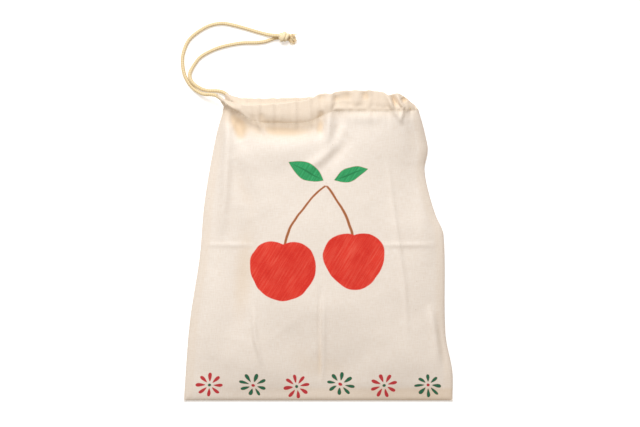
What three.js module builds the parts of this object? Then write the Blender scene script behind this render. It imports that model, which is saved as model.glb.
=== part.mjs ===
// A drawstring bag of unbleached cotton. It lies flat on its back with its mouth a little open,
// and the ends of its drawcord come out of the left side and are tied in one knot.
// Millimetres, +Z up, +Y towards the mouth. The origin is the middle of the bag's underside.
import * as THREE from "three";

// Bag, laid flat
const BAG_WIDTH = 260;
const BAG_LENGTH = 298;
const CLOTH = 0.8; // one layer with its nap and creases
const GAP = 0.3; // between pieces that touch
const LEFT_GATHER = 39; // how far the cord has drawn in the top of each side
const RIGHT_GATHER = 36;
const SLIT_REACH = 7; // the casing's open end past the top of the left side seam
const FOLD_REACH = 1; // the casing's closed end past the top of the right side seam
const BELLY_HEIGHT = 17.4; // top of the front cloth at the mouth's stitching

// Hem casings
const HEM_DEPTH = 19;
const CORD_ROOM = 0.5; // around the cord in its casing
const LIP_HEIGHT = 17; // the cord's middle in the lifted front casing
const RIGHT_END_LENGTH = 14.7; // of the closed end round the cord's bight
const BIGHT_REACH = 4.2; // of folded cloth past the bight
const SLIT_END_LENGTH = 13.7; // of the open ends at the slit
const BACK_END_SETBACK = 12; // the back's open end lies this far inside the front's
const SLEEVE_SLANT = 0.3; // share that an open end is deeper where it runs aslant
const FOLD_DROP = 0.8; // how much the closed end's fold tapers down at its tip
const CASING_STEP = 6; // between a casing's sections
const END_STEP = 2; // between the sections of its ends

// Seams and stitching
const SEAM_ALLOWANCE = 8;
const SEAM_THICKNESS = 1;
const STITCH_WIDTH = 0.8;
const STITCH_HEIGHT = 0.5;
const STITCH_INSET = 2.6; // from the casing's sewn edge
const BARTACK_LENGTH = 5;
const BARTACK_WIDTH = 1.6;
const BARTACK_HEIGHT = 0.7;

// Drawcord
const CORD_DIAMETER = 3.5;
const CORD_DROP = 16; // how far below the bag's top the cord's straight runs lie
const KNOT_LENGTH = 9;
const KNOT_WIDTH = 9.4;
const CORD_SIDES = 8;
const CORD_STEP = 2.6; // diameters between a free strand's sections
const BEND_STEP = 1.5; // the same where the cord bends closely
const ROUTE_DIVISIONS = 40; // of each span of the route, to measure its length

// Places that follow from the sizes
const CORD_RADIUS = CORD_DIAMETER / 2;
const TOP = BAG_LENGTH / 2;
const CORD_LINE = TOP - CORD_DROP;
const MOUTH_LEFT = -BAG_WIDTH / 2 + LEFT_GATHER - SLIT_REACH;
const MOUTH_RIGHT = BAG_WIDTH / 2 - RIGHT_GATHER + FOLD_REACH;
const CASING_HALF_HEIGHT = CORD_RADIUS + CORD_ROOM + CLOTH;
const BACK_LINE = CASING_HALF_HEIGHT; // height of the cord's middle in the back casing
const SEAM_LEVEL = CLOTH + GAP;
const EDGE_LEVEL = SEAM_LEVEL + SEAM_THICKNESS + GAP; // underside of the front cloth at its edges

// Shape lists are [share of the way, share or millimetres], joined by a smooth curve.
// Share of its gather that each side has at a share of the way up
const LEFT_EDGE = [[0, 0], [0.26, 0.14], [0.49, 0.4], [0.68, 0.52], [0.905, 0.81], [1, 1]];
const RIGHT_EDGE = [
  [0, 0], [0.1, 0], [0.23, 0.18], [0.575, 0.236], [0.65, 0.46], [0.736, 0.667],
  [0.8, 0.736], [0.861, 0.667], [0.932, 0.736], [0.98, 0.9], [1, 1],
];
// How far the lips lie below the bag's top, from the mouth's left end to its right end
const FRONT_LIP = [
  [0, 2], [0.05, 9], [0.11, 12.2], [0.19, 12.7], [0.29, 11.8], [0.38, 10.2], [0.47, 6.8],
  [0.53, 2], [0.6, 0], [0.75, 0], [0.87, 1.8], [0.93, 4.6], [0.965, 9], [1, 13],
];
const BACK_LIP = [
  [0, 2], [0.1, 4.5], [0.2, 5.5], [0.35, 5], [0.5, 4], [0.6, 2.5], [0.75, 1.5],
  [0.87, 2.5], [0.93, 4.9], [0.965, 9], [1, 13],
];
// Share of the hem's depth that is left where each casing is pinched towards its ends
const FRONT_TAPER = [
  [0, 0.36], [0.05, 0.44], [0.11, 0.6], [0.19, 0.88], [0.25, 1], [0.85, 1], [0.93, 0.76],
  [0.965, 0.53], [1, 0.32],
];
const BACK_TAPER = [
  [0, 0.7], [0.11, 0.8], [0.19, 0.92], [0.25, 1], [0.85, 1], [0.93, 0.76], [0.965, 0.53], [1, 0.32],
];
const FRONT = { lip: FRONT_LIP, taper: FRONT_TAPER, height: LIP_HEIGHT };
const BACK = { lip: BACK_LIP, taper: BACK_TAPER, height: BACK_LINE };
// Height of the front cloth as a share of the belly's, from the bottom seam to the stitching
const BELLY = [[0, 0], [0.05, 0.3], [0.14, 0.55], [0.32, 0.74], [0.58, 0.88], [0.82, 1], [1, 1]];
// How square the front cloth's crown is across the bag
const BELLY_POWER = [[0, 6], [0.45, 3.2], [0.8, 5], [1, 14]];

// The cord's route, chosen by hand: x and y from the slit (MOUTH_LEFT, TOP), z from the floor
const OUTER_BEND = [
  [22, -16, 17], [16, -15, 17], [10, -11.1, 16.6], [5, -6.9, 15.6], [0, -3.6, 13.6],
];
const OUTER_ROUTE = [
  [-5.8, -2.3, 10.4], [-11.3, -1.9, 7], [-17.1, 0.3, 4.2], [-22.2, 3.8, 2.5],
  [-26.2, 8.1, 1.9], [-29, 12.5, 1.8], [-31.2, 17, 1.8], [-33, 25, 1.8], [-33.3, 34, 1.8],
  [-31.2, 43, 1.8], [-26.8, 51.6, 1.8], [-17.5, 59.6, 1.8], [-6.5, 65.4, 1.8], [5.2, 67.4, 1.8],
  [16, 65.6, 1.8], [27.3, 62.6, 1.8], [38.4, 59.3, 1.8], [46.4, 57.1, 2.3], [51.5, 55.8, 4.6],
  [55.8, 55.1, 6.4], [59.9, 54.9, 6.7],
];
const INNER_BEND = [
  [34, -16, 3.05], [28, -15.2, 3.05], [22, -12.4, 3.05], [16.7, -8.2, 3.05], [12, -4, 3.05],
];
const INNER_ROUTE = [
  [7.5, -0.3, 3.05], [3, 1.4, 3.05], [-2, 1.9, 3.05], [-7.7, 2, 3.1],
  [-13, 3, 3.2], [-18, 5.4, 3.5], [-22.1, 8.3, 3.9], [-24.9, 11.8, 4], [-26.2, 15.6, 3.6],
  [-26, 19.5, 2.9], [-24.3, 23.3, 2.2], [-21.9, 27.4, 1.8], [-16.5, 34.2, 1.8], [-7.5, 39.8, 1.8],
  [2.5, 43.9, 1.8], [13.2, 46.6, 1.8], [25, 48.4, 1.8], [38.4, 48.7, 1.8], [46.9, 49.8, 1.8],
  [52, 51.4, 1.9], [56, 52.8, 2.2], [59.9, 53.4, 2.4],
];
const OUTER_TAIL = [[70.2, 55.2, 5.2], [72.8, 55.5, 4.5], [75.4, 55.4, 2.8], [78.6, 54.5, 1.9]];
const INNER_TAIL = [[69.8, 51.4, 2.2], [72.6, 50.6, 1.9], [75, 49.6, 1.8], [77.6, 48.9, 1.8]];
const KNOT_PLACE = [64.9, 54.1];

// Height of a smooth curve through [place, height] pairs, as a cubic between each two
function through(pairs, place) {
  const last = pairs.length - 1;
  const slope = (k) => {
    const [x0, y0] = pairs[Math.max(k - 1, 0)];
    const [x1, y1] = pairs[Math.min(k + 1, last)];
    return (y1 - y0) / (x1 - x0);
  };
  let k = 0;
  while (k < last - 1 && place > pairs[k + 1][0]) k += 1;
  const [x0, y0] = pairs[k];
  const [x1, y1] = pairs[k + 1];
  const step = x1 - x0;
  const u = Math.min(Math.max((place - x0) / step, 0), 1);
  const rise = u * u * (3 - 2 * u);
  const ease = u * (1 - u) * (1 - u) * slope(k) - u * u * (1 - u) * slope(k + 1);
  return y0 + (y1 - y0) * rise + step * ease;
}

const mix = (a, b, share) => a + (b - a) * share;

// A closed solid from quads and triangles over shared points
function solid(points, quads, triangles = []) {
  const index = [...triangles.flat()];
  for (const [a, b, c, d] of quads) index.push(a, b, c, a, c, d);
  const geometry = new THREE.BufferGeometry();
  geometry.setAttribute("position", new THREE.Float32BufferAttribute(points.flat(), 3));
  geometry.setIndex(index);
  geometry.computeVertexNormals();
  return geometry;
}

// A sheet of cloth between an upper and a lower face, each a function of two shares
function clothSheet(upper, lower, across, along) {
  const points = [];
  for (const face of [upper, lower]) {
    for (let j = 0; j <= along; j += 1) {
      for (let i = 0; i <= across; i += 1) points.push(face(i / across, j / along));
    }
  }
  const row = across + 1;
  const under = row * (along + 1);
  const quads = [];
  for (let j = 0; j < along; j += 1) {
    for (let i = 0; i < across; i += 1) {
      const k = j * row + i;
      quads.push([k, k + 1, k + 1 + row, k + row]);
      quads.push([under + k, under + k + row, under + k + row + 1, under + k + 1]);
    }
    const start = j * row;
    const end = start + across;
    quads.push([start, start + row, under + start + row, under + start]);
    quads.push([under + end, under + end + row, end + row, end]);
  }
  for (let i = 0; i < across; i += 1) {
    const far = along * row + i;
    quads.push([under + i, under + i + 1, i + 1, i]);
    quads.push([far, far + 1, under + far + 1, under + far]);
  }
  return solid(points, quads);
}

// A flattened cloth channel along X. Each section gives x, its middle y and z, its half depth
// along Y and its half height along Z. The far end is open, or closed where closedEnd is true.
const SECTION_POINTS = 20;
const SECTION_POWER = 6; // how square the flattened section is
function channel(sections, closedEnd = false) {
  const rings = (list, inset) => list.flatMap(({ x, y, z, halfDepth, halfHeight }) => {
    const ring = [];
    for (let k = 0; k < SECTION_POINTS; k += 1) {
      const angle = (k / SECTION_POINTS) * 2 * Math.PI;
      const bulge = (value) => Math.sign(value) * Math.abs(value) ** (2 / SECTION_POWER);
      ring.push([
        x,
        y + (halfDepth - inset) * bulge(Math.cos(angle)),
        z + (halfHeight - inset) * bulge(Math.sin(angle)),
      ]);
    }
    return ring;
  });
  const innerList = closedEnd ? sections.slice(0, -1) : sections;
  const points = [...rings(sections, 0), ...rings(innerList, CLOTH)];
  const innerStart = sections.length * SECTION_POINTS;
  const outer = (s, k) => s * SECTION_POINTS + (k % SECTION_POINTS);
  const inner = (s, k) => innerStart + outer(s, k);
  const lastOuter = sections.length - 1;
  const lastInner = innerList.length - 1;
  const quads = [];
  const triangles = [];
  for (let k = 0; k < SECTION_POINTS; k += 1) {
    for (let s = 0; s < lastOuter; s += 1) {
      quads.push([outer(s, k), outer(s, k + 1), outer(s + 1, k + 1), outer(s + 1, k)]);
    }
    for (let s = 0; s < lastInner; s += 1) {
      quads.push([inner(s, k), inner(s + 1, k), inner(s + 1, k + 1), inner(s, k + 1)]);
    }
    quads.push([outer(0, k), inner(0, k), inner(0, k + 1), outer(0, k + 1)]);
    if (closedEnd) {
      triangles.push([outer(lastOuter, k), outer(lastOuter, k + 1), points.length]);
      triangles.push([inner(lastInner, k + 1), inner(lastInner, k), points.length + 1]);
    } else {
      quads.push([
        outer(lastOuter, k), outer(lastOuter, k + 1), inner(lastInner, k + 1), inner(lastInner, k),
      ]);
    }
  }
  if (closedEnd) {
    for (const { x, y, z } of [sections[lastOuter], innerList[lastInner]]) points.push([x, y, z]);
  }
  return solid(points, quads, triangles);
}

const fromSlit = ([x, y, z]) => new THREE.Vector3(MOUTH_LEFT + x, TOP + y, z);
const smoothRoute = (places) => new THREE.CatmullRomCurve3(places);

// The stretch of a longer route between two of its points, a gap short of each
class Stretch extends THREE.Curve {
  constructor(whole, first, last) {
    super();
    const spans = whole.points.length - 1;
    whole.arcLengthDivisions = spans * ROUTE_DIVISIONS;
    const lengths = whole.getLengths();
    const total = whole.getLength();
    this.whole = whole;
    this.from = (lengths[first * ROUTE_DIVISIONS] + (first > 0 ? GAP / 2 : 0)) / total;
    this.to = (lengths[last * ROUTE_DIVISIONS] - (last < spans ? GAP / 2 : 0)) / total;
  }

  getPoint(share, target) {
    return this.whole.getPointAt(mix(this.from, this.to, share), target);
  }
}

// The round cord along a curve, with a section every so many diameters
function cord(curve, step) {
  const section = new THREE.Shape();
  for (let k = 0; k < CORD_SIDES; k += 1) {
    const angle = ((k + 0.5) / CORD_SIDES) * 2 * Math.PI;
    const place = [Math.cos(angle) * CORD_RADIUS, Math.sin(angle) * CORD_RADIUS];
    if (k === 0) section.moveTo(...place);
    else section.lineTo(...place);
  }
  section.closePath();
  const steps = Math.ceil(curve.getLength() / (step * CORD_DIAMETER));
  return new THREE.ExtrudeGeometry(section, { steps, extrudePath: curve, bevelEnabled: false });
}

// The bag's outline and the hem's edges
const leftSide = (up) => -BAG_WIDTH / 2 + LEFT_GATHER * through(LEFT_EDGE, up);
const rightSide = (up) => BAG_WIDTH / 2 - RIGHT_GATHER * Math.max(through(RIGHT_EDGE, up), 0);
const mouthShare = (x) => (x - MOUTH_LEFT) / (MOUTH_RIGHT - MOUTH_LEFT);
const lipLine = (hem, x) => TOP - Math.max(through(hem.lip, mouthShare(x)), 0);
const hemDepth = (hem, x) => HEM_DEPTH * through(hem.taper, mouthShare(x));
const stitchLine = (hem, x) => lipLine(hem, x) - hemDepth(hem, x);

// A point of a panel, at shares of the way across and up to the stitching. Its corners stay
// below the cord, which slides over them when it is pulled.
function panelPlace(hem, across, up) {
  const topX = mix(leftSide(1), rightSide(1), across);
  const topY = Math.min(stitchLine(hem, topX) - 2 * GAP, CORD_LINE - CORD_RADIUS - GAP);
  return [mix(leftSide(up), rightSide(up), across), mix(-TOP, topY, up)];
}

function frontHeight(across, up) {
  const crown = 1 - Math.abs(2 * across - 1) ** through(BELLY_POWER, up);
  return (BELLY_HEIGHT - EDGE_LEVEL - CLOTH) * through(BELLY, up) * crown;
}

function frontPanel() {
  const face = (level) => (across, up) => [
    ...panelPlace(FRONT, across, up), level + frontHeight(across, up),
  ];
  return clothSheet(face(EDGE_LEVEL + CLOTH), face(EDGE_LEVEL), 30, 26);
}

function backPanel() {
  const face = (level) => (across, up) => [...panelPlace(BACK, across, up), level];
  return clothSheet(face(CLOTH), face(0), 24, 16);
}

// The seam allowances lie between the panels, along the bag's edges
function sideSeam(edge, inward) {
  const face = (level) => (across, up) => {
    const x = edge(up) + inward * mix(0, SEAM_ALLOWANCE, inward > 0 ? across : 1 - across);
    return [x, mix(-TOP, panelPlace(FRONT, inward > 0 ? 0 : 1, 1)[1], up), level];
  };
  return clothSheet(face(SEAM_LEVEL + SEAM_THICKNESS), face(SEAM_LEVEL), 2, 24);
}

function bottomSeam() {
  const reach = BAG_WIDTH / 2 - SEAM_ALLOWANCE - GAP;
  const drawnIn = LEFT_GATHER * through(LEFT_EDGE, SEAM_ALLOWANCE / BAG_LENGTH);
  const face = (level) => (across, up) => {
    const x = mix(-reach + drawnIn, reach, across);
    return [x, -TOP + up * SEAM_ALLOWANCE, level];
  };
  return clothSheet(face(SEAM_LEVEL + SEAM_THICKNESS), face(SEAM_LEVEL), 8, 1);
}

// The casings' straight stretch, between the open ends and the closed end
const casingSection = (hem) => (x) => ({
  x,
  y: lipLine(hem, x) - hemDepth(hem, x) / 2,
  z: hem.height,
  halfDepth: hemDepth(hem, x) / 2,
  halfHeight: CASING_HALF_HEIGHT,
});
const BACK_SLIT = MOUTH_LEFT + BACK_END_SETBACK;
const FRONT_START = MOUTH_LEFT + SLIT_END_LENGTH;
const BACK_START = BACK_SLIT + SLIT_END_LENGTH;
const CASING_END = MOUTH_RIGHT - RIGHT_END_LENGTH;

function sectionsAlong(from, to, step, section) {
  const count = Math.ceil((to - from) / step);
  return Array.from({ length: count + 1 }, (_, k) => section(mix(from, to, k / count)));
}

function casing(hem, start) {
  return channel(sectionsAlong(start + GAP, CASING_END, CASING_STEP, casingSection(hem)));
}

// An open end narrows from the casing to a sleeve round the cord, which bends up to the slit
function casingEnd(hem, from, to, bend) {
  const wide = casingSection(hem)(to);
  const onRoute = smoothRoute(bend.map(fromSlit)).getPoints(200);
  const cordAt = (x) => (
    onRoute.reduce((a, b) => (Math.abs(b.x - x) < Math.abs(a.x - x) ? b : a))
  );
  const start = cordAt(to);
  const section = (x) => {
    const share = (x - from) / (to - from);
    const ease = share * share * (3 - 2 * share);
    const slant = 1 + Math.sin(Math.PI * share) * SLEEVE_SLANT;
    const place = cordAt(x);
    return {
      x,
      y: place.y + (wide.y - start.y) * ease,
      z: place.z + (wide.z - start.z) * ease,
      halfDepth: mix((CASING_HALF_HEIGHT + CORD_ROOM) * slant, wide.halfDepth, ease),
      halfHeight: CASING_HALF_HEIGHT,
    };
  };
  return channel(sectionsAlong(from, to, END_STEP, section));
}

// The closed end wraps both casings round the right side seam, with the cord's bight inside
function rightCasingEnd() {
  const middle = (LIP_HEIGHT + CASING_HALF_HEIGHT) / 2;
  const section = (x) => {
    const share = (x - CASING_END) / RIGHT_END_LENGTH;
    return {
      ...casingSection(FRONT)(x),
      z: middle,
      halfHeight: middle * Math.sqrt(1 - FOLD_DROP * share ** 3),
    };
  };
  return channel(sectionsAlong(CASING_END + GAP, MOUTH_RIGHT, END_STEP, section), true);
}

// One row of lockstitch along the hem, on the cloth's face over the casing's sewn edge
function hemStitching(hem, start) {
  const from = start + 2 * STITCH_INSET;
  const to = CASING_END - 2 * STITCH_INSET;
  const face = (height) => (across, up) => {
    const x = mix(from, to, across);
    return [x, stitchLine(hem, x) + STITCH_INSET + up * STITCH_WIDTH, height];
  };
  const base = hem.height + CASING_HALF_HEIGHT + GAP;
  return clothSheet(face(base + STITCH_HEIGHT), face(base), 40, 1);
}

// A bar of close zigzag thread across the end of the casing
function bartack(bend, share) {
  const route = smoothRoute(bend.map(fromSlit));
  const place = route.getPoint(share);
  const run = route.getTangent(share);
  const geometry = new THREE.BoxGeometry(BARTACK_WIDTH, BARTACK_LENGTH, BARTACK_HEIGHT);
  geometry.rotateY(-Math.atan2(run.z, run.x) - Math.PI);
  const lift = CASING_HALF_HEIGHT + 2 * GAP + BARTACK_HEIGHT / 2;
  geometry.translate(place.x, place.y, place.z + lift);
  return geometry;
}

// The whole cord from knot to knot: the outer strand, in at the slit, the front run, the bight
// in the closed end, the back run, out at the slit again, and the inner strand
function wholeCord() {
  const radius = (LIP_HEIGHT - BACK_LINE) / 2;
  const turn = MOUTH_RIGHT - BIGHT_REACH - CORD_RADIUS - radius;
  const runSpans = 8;
  const turnSpans = 6;
  const run = (from, to, height) => Array.from({ length: runSpans - 1 }, (_, k) => (
    new THREE.Vector3(mix(from, to, (k + 1) / runSpans), CORD_LINE, height)
  ));
  const bight = Array.from({ length: turnSpans + 1 }, (_, k) => {
    const angle = Math.PI * (0.5 - k / turnSpans);
    const height = BACK_LINE + radius + radius * Math.sin(angle);
    return new THREE.Vector3(turn + radius * Math.cos(angle), CORD_LINE, height);
  });
  const outer = OUTER_ROUTE.map(fromSlit).reverse();
  const frontBend = OUTER_BEND.map(fromSlit).reverse();
  const backBend = INNER_BEND.map(fromSlit);
  const frontRun = run(frontBend.at(-1).x, turn, LIP_HEIGHT);
  const backRun = run(turn, backBend[0].x, BACK_LINE);
  const inside = [...frontBend, ...frontRun, ...bight, ...backRun, ...backBend];
  const whole = smoothRoute([...outer, ...inside, ...INNER_ROUTE.map(fromSlit)]);
  const slitIn = outer.length;
  const slitOut = outer.length + inside.length - 1;
  return {
    outerStrand: new Stretch(whole, 0, slitIn),
    inCasing: new Stretch(whole, slitIn, slitOut),
    innerStrand: new Stretch(whole, slitOut, whole.points.length - 1),
  };
}

// An overhand knot: three close turns between flat ends, turned along the cord
function knot() {
  const half = KNOT_LENGTH / 2;
  const radius = KNOT_WIDTH / 2;
  const profile = [[0, -half], [0.8, -half], [0.93, -0.72 * half], [0.84, -0.36 * half], [1, 0],
    [0.86, 0.38 * half], [0.95, 0.7 * half], [0.78, half], [0, half]];
  const outline = profile.map(([share, along]) => new THREE.Vector2(share * radius, along));
  const geometry = new THREE.LatheGeometry(outline, 16);
  geometry.rotateZ(-Math.PI / 2);
  geometry.translate(...fromSlit([...KNOT_PLACE, radius]));
  return geometry;
}

const COTTON = { color: 0xf0e2cb, roughness: 0.95, metalness: 0 };
const THREAD = { color: 0xf4ead8, roughness: 0.8, metalness: 0 };
const BRAID = { color: 0xe6d3a8, roughness: 0.9, metalness: 0 };

const bag = new THREE.Group();

function add(name, geometry, finish) {
  const mesh = new THREE.Mesh(geometry, new THREE.MeshStandardMaterial(finish));
  mesh.name = name;
  bag.add(mesh);
}

const { outerStrand, inCasing, innerStrand } = wholeCord();
const outerExit = [...OUTER_BEND, OUTER_ROUTE[0]];
const innerExit = [...INNER_BEND, INNER_ROUTE[0]];
const outerTail = smoothRoute(OUTER_TAIL.map(fromSlit));
const innerTail = smoothRoute(INNER_TAIL.map(fromSlit));

add("front_panel", frontPanel(), COTTON);
add("back_panel", backPanel(), COTTON);
add("left_side_seam", sideSeam(leftSide, 1), THREAD);
add("right_side_seam", sideSeam(rightSide, -1), THREAD);
add("bottom_seam", bottomSeam(), THREAD);
add("front_casing", casing(FRONT, FRONT_START), COTTON);
add("back_casing", casing(BACK, BACK_START), COTTON);
add("left_casing_end_front", casingEnd(FRONT, MOUTH_LEFT, FRONT_START, outerExit), COTTON);
add("left_casing_end_back", casingEnd(BACK, BACK_SLIT, BACK_START, innerExit), COTTON);
add("right_casing_end", rightCasingEnd(), COTTON);
add("front_hem_stitching", hemStitching(FRONT, FRONT_START), THREAD);
add("back_hem_stitching", hemStitching(BACK, BACK_START), THREAD);
add("exit_bartack_front", bartack(OUTER_BEND, 0.72), THREAD);
add("exit_bartack_back", bartack(INNER_BEND, 0.76), THREAD);
add("drawcord_in_casing", cord(inCasing, BEND_STEP), BRAID);
add("drawcord_outer_strand", cord(outerStrand, CORD_STEP), BRAID);
add("drawcord_inner_strand", cord(innerStrand, CORD_STEP), BRAID);
add("drawcord_knot", knot(), BRAID);
add("drawcord_tail_outer", cord(outerTail, BEND_STEP), BRAID);
add("drawcord_tail_inner", cord(innerTail, BEND_STEP), BRAID);

export default bag;
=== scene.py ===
# A drawstring bag of unbleached cotton. It lies flat on its back on a white table, its mouth
# a little open, with the two ends of its cord out of the left side and tied together.
# Metres, +Z up, +Y towards the mouth.
import math

import bpy
import numpy as np
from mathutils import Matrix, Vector, noise


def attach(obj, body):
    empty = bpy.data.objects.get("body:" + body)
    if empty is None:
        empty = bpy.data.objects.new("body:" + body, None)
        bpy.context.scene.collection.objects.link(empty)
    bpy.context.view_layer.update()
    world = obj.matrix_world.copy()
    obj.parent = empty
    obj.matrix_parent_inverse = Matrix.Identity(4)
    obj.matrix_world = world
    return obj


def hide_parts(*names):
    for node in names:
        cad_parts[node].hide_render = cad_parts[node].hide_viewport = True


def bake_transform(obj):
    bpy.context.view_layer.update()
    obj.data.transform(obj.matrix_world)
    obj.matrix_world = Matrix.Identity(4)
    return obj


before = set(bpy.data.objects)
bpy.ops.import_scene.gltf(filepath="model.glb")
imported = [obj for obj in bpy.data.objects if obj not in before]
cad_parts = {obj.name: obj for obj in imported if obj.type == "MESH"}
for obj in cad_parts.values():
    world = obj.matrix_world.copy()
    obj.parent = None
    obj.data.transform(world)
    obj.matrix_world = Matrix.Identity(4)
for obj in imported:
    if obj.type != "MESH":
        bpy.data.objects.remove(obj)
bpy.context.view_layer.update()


# Camera
# The photograph is taken from straight above the table with a long lens, so the bag is seen
# nearly without perspective.
CAMERA_PLACE = (0.0019, 0.0321, 1.466)

camera_data = bpy.data.cameras.new("overhead_camera")
camera_data.lens = 85
camera_data.sensor_width = 36
camera = bpy.data.objects.new("overhead_camera", camera_data)
camera.location = CAMERA_PLACE
bpy.context.scene.collection.objects.link(camera)
bpy.context.scene.camera = camera


# Drawcord
# One soft braided cotton cord, 3.5 mm thick. It goes in at the slit, along the front hem, round
# inside the closed end, back along the back hem and out at the slit. Its two free ends lie in a
# loose loop on the table and meet in the knot.
CORD_RADIUS = 0.00175
BRAID_REPEAT = 0.0022  # along the cord, from one plait to the next
PLAITS_ROUND = 5
PLAIT_RELIEF = 0.00017
CORD_UNEVEN = 0.03  # how much the cord swells and thins, as a share of its radius
CORD_STEP = 0.00055  # between the rings of the cord's mesh
CORD_SIDES = 20
CORD_LINE = 0.133  # where the cord's straight runs lie
FRONT_CORD = 0.017  # height of the cord's middle in the front hem
BACK_CORD = 0.00305
BIGHT_MIDDLE = 0.082075  # along X, of the turn in the closed end
SLIT = (-0.098, 0.149)
ROUTE_STEPS = 14  # from one place of a route to the next
# Places of the route, given one by one: x and y from the slit, z from the table
OUTER_BEND = [
    [0.022, -0.016, 0.017], [0.016, -0.015, 0.017], [0.01, -0.0111, 0.0166],
    [0.005, -0.0069, 0.0156], [0, -0.0036, 0.0136],
]
OUTER_ROUTE = [
    [-0.0058, -0.0023, 0.0104], [-0.0113, -0.0019, 0.007], [-0.0171, 0.0003, 0.0042],
    [-0.0222, 0.0038, 0.0025], [-0.0262, 0.0081, 0.0019], [-0.029, 0.0125, 0.0018],
    [-0.0312, 0.017, 0.0018], [-0.033, 0.025, 0.0018], [-0.0333, 0.034, 0.0018],
    [-0.0312, 0.043, 0.0018], [-0.0268, 0.0516, 0.0018], [-0.0175, 0.0596, 0.0018],
    [-0.0065, 0.0654, 0.0018], [0.0052, 0.0674, 0.0018], [0.016, 0.0656, 0.0018],
    [0.0273, 0.0626, 0.0018], [0.0384, 0.0593, 0.0018], [0.0464, 0.0571, 0.0023],
    [0.0515, 0.0558, 0.0046], [0.0558, 0.0551, 0.0064], [0.0599, 0.0549, 0.0067],
]
INNER_BEND = [
    [0.034, -0.016, 0.00305], [0.028, -0.0152, 0.00305], [0.022, -0.0124, 0.00305],
    [0.0167, -0.0082, 0.00305], [0.012, -0.004, 0.00305],
]
INNER_ROUTE = [
    [0.0075, -0.0003, 0.00305], [0.003, 0.0014, 0.00305], [-0.002, 0.0019, 0.00305],
    [-0.0077, 0.002, 0.0031], [-0.013, 0.003, 0.0032], [-0.018, 0.0054, 0.0035],
    [-0.0221, 0.0083, 0.0039], [-0.0249, 0.0118, 0.004], [-0.0262, 0.0156, 0.0036],
    [-0.026, 0.0195, 0.0029], [-0.0243, 0.0233, 0.0022], [-0.0219, 0.0274, 0.0018],
    [-0.0165, 0.0342, 0.0018], [-0.0075, 0.0398, 0.0018], [0.0025, 0.0439, 0.0018],
    [0.0132, 0.0466, 0.0018], [0.025, 0.0484, 0.0018], [0.0384, 0.0487, 0.0018],
    [0.0469, 0.0498, 0.0018], [0.052, 0.0514, 0.0019], [0.056, 0.0528, 0.0022],
    [0.0599, 0.0534, 0.0024],
]


def linear(hex_colour):
    """An sRGB hex value as a linear colour."""
    channels = [int(hex_colour[k:k + 2], 16) / 255 for k in (1, 3, 5)]
    return (*[c / 12.92 if c <= 0.04045 else ((c + 0.055) / 1.055) ** 2.4 for c in channels], 1)


def shade(tree, kind, inputs=(), operation=None, out=0, **settings):
    """Adds a shader node with its settings and links, and gives one of its outputs. Its inputs
    are named or in order, and a text among them is a hex colour."""
    node = tree.nodes.new("ShaderNode" + kind)
    if operation:
        node.operation = operation
    for key, value in settings.items():
        setattr(node, key, value)
    named = inputs if isinstance(inputs, dict) else dict(enumerate(inputs))
    for socket, value in named.items():
        if isinstance(value, bpy.types.NodeSocket):
            tree.links.new(value, node.inputs[socket])
        else:
            node.inputs[socket].default_value = linear(value) if isinstance(value, str) else value
    return node.outputs[out] if len(node.outputs) else node


def new_material(name):
    """A material with an empty node tree, and that tree."""
    material = bpy.data.materials.new(name)
    material.use_nodes = True
    material.node_tree.nodes.clear()
    return material, material.node_tree


# Soft matt cotton yarn: fine strands run along the plaits, and a little fuzz pales the colour.
cotton_braid, tree = new_material("braided_cotton_cord")
place = shade(tree, "TexCoord", out="Object")
strands = shade(tree, "TexNoise", {"Vector": place, "Scale": 1400, "Detail": 3})
uneven = shade(tree, "TexNoise", {"Vector": place, "Scale": 150, "Detail": 2})
plait_groove_shade = shade(tree, "Attribute", attribute_name="plait_groove_shade", out="Fac")
yarn = shade(tree, "Mix", {0: strands, 6: "#EEDAB0", 7: "#F9EDD0"}, out=2, data_type="RGBA")
yarn = shade(tree, "Mix", {0: uneven, 6: yarn, 7: "#F2E2BC"}, out=2, data_type="RGBA")
# Painted shade: the grooves between the plaits are coloured darker
yarn = shade(tree, "Mix", {0: plait_groove_shade, 6: "#DBBF8A", 7: yarn}, out=2, data_type="RGBA")
fuzz = shade(tree, "Bump", {"Height": strands, "Strength": 0.3, "Distance": 0.0003})
surface = shade(tree, "BsdfPrincipled", {
    "Base Color": yarn, "Roughness": 0.92, "IOR": 1.5, "Specular IOR Level": 0.25,
    "Sheen Weight": 0.15, "Sheen Roughness": 0.5, "Normal": fuzz,
})
shade(tree, "OutputMaterial", {"Surface": surface})


def from_slit(places):
    """Places that are measured from the slit, measured from the bag's middle."""
    return [[SLIT[0] + x, SLIT[1] + y, z] for x, y, z in places]


def smooth_route(places, steps=ROUTE_STEPS):
    """Points on the smooth curve that a soft cord takes through the places."""
    p = np.array(places, float)
    p = np.vstack([2 * p[0] - p[1], p, 2 * p[-1] - p[-2]])
    gap = np.sqrt(np.linalg.norm(np.diff(p, axis=0), axis=1))
    t = np.linspace(0, 1, steps, endpoint=False)[:, None]
    spans = []
    for k in range(1, len(p) - 2):
        before, here, after = gap[k - 1:k + 2]
        ahead = p[k + 1] - p[k]
        leave = ((p[k] - p[k - 1]) / before - (p[k + 1] - p[k - 1]) / (before + here)) * here + ahead
        arrive = ((p[k + 2] - p[k + 1]) / after - (p[k + 2] - p[k]) / (here + after)) * here + ahead
        ease = t * t * (3 - 2 * t)
        spans.append(p[k] + ease * ahead + t * (1 - t) ** 2 * leave - t * t * (1 - t) * arrive)
    return np.vstack([*spans, p[-2]])


def spaced(route, step):
    """The same route with its points an even step apart."""
    run = np.concatenate([[0], np.cumsum(np.linalg.norm(np.diff(route, axis=0), axis=1))])
    places = np.linspace(0, run[-1], max(int(round(run[-1] / step)), 2) + 1)
    return np.stack([np.interp(places, run, route[:, k]) for k in range(3)], axis=1)


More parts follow.
